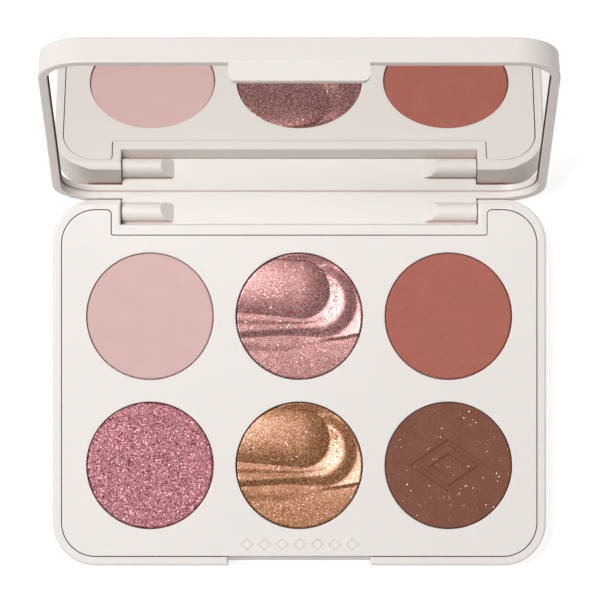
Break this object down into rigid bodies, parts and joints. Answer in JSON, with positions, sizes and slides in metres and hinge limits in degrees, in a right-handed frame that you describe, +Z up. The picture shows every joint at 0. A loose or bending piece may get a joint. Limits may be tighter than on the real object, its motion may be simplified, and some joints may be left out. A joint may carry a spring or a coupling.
{
  "type": "eyeshadow palette",
  "caption": "Flat hinged compact with round pans of pressed powder under a flush face plate and a mirror in its lid, shown open.",
  "frame": {"origin": "centre of the base's underside, on the face that it rests on", "axes": "+Z up out of the base, +Y towards the hinge, +X along the hinge to the right of a user who faces the mirror"},
  "size_m": [0.1026, 0.1064, 0.0746],
  "materials": {
    "case_plastic": "warm white ABS, moulded, satin gloss",
    "tray_plastic": "warm white ABS, moulded, smooth",
    "pin_steel": "drawn steel wire",
    "label_film": "blank coated film",
    "mirror_glass": "silvered float glass",
    "foam_tape": "white foam tape",
    "pan_tinplate": "pressed tinplate",
    "pan_glue": "set adhesive",
    "powder_rear_left": "matte pressed powder, pale pink",
    "powder_rear_centre": "metallic pressed powder, rose",
    "powder_rear_right": "matte pressed powder, terracotta",
    "powder_front_left": "glitter pressed powder, pink",
    "powder_front_centre": "metallic pressed powder, gold bronze",
    "powder_front_right": "matte pressed powder, brown"
  },
  "bodies": {
    "base": {"base_shell": "case_plastic", "pan_tray": "tray_plastic", "hinge_pin_left": "pin_steel", "hinge_pin_right": "pin_steel", "base_label": "label_film", "pan_rear_left": "pan_tinplate", "pan_rear_centre": "pan_tinplate", "pan_rear_right": "pan_tinplate", "pan_front_left": "pan_tinplate", "pan_front_centre": "pan_tinplate", "pan_front_right": "pan_tinplate", "pan_glue_rear_left": "pan_glue", "pan_glue_rear_centre": "pan_glue", "pan_glue_rear_right": "pan_glue", "pan_glue_front_left": "pan_glue", "pan_glue_front_centre": "pan_glue", "pan_glue_front_right": "pan_glue", "powder_rear_left": "powder_rear_left", "powder_rear_centre": "powder_rear_centre", "powder_rear_right": "powder_rear_right", "powder_front_left": "powder_front_left", "powder_front_centre": "powder_front_centre", "powder_front_right": "powder_front_right"},
    "lid": {"lid_shell": "case_plastic", "mirror": "mirror_glass", "mirror_tape": "foam_tape"}
  },
  "joints": [
    {"name": "lid_hinge", "type": "hinge", "parent": "base", "child": "lid", "pos_m": [0, 0.0355, 0.00525], "axis": [1, 0, 0], "range_deg": [0, 109.64]}
  ]
}
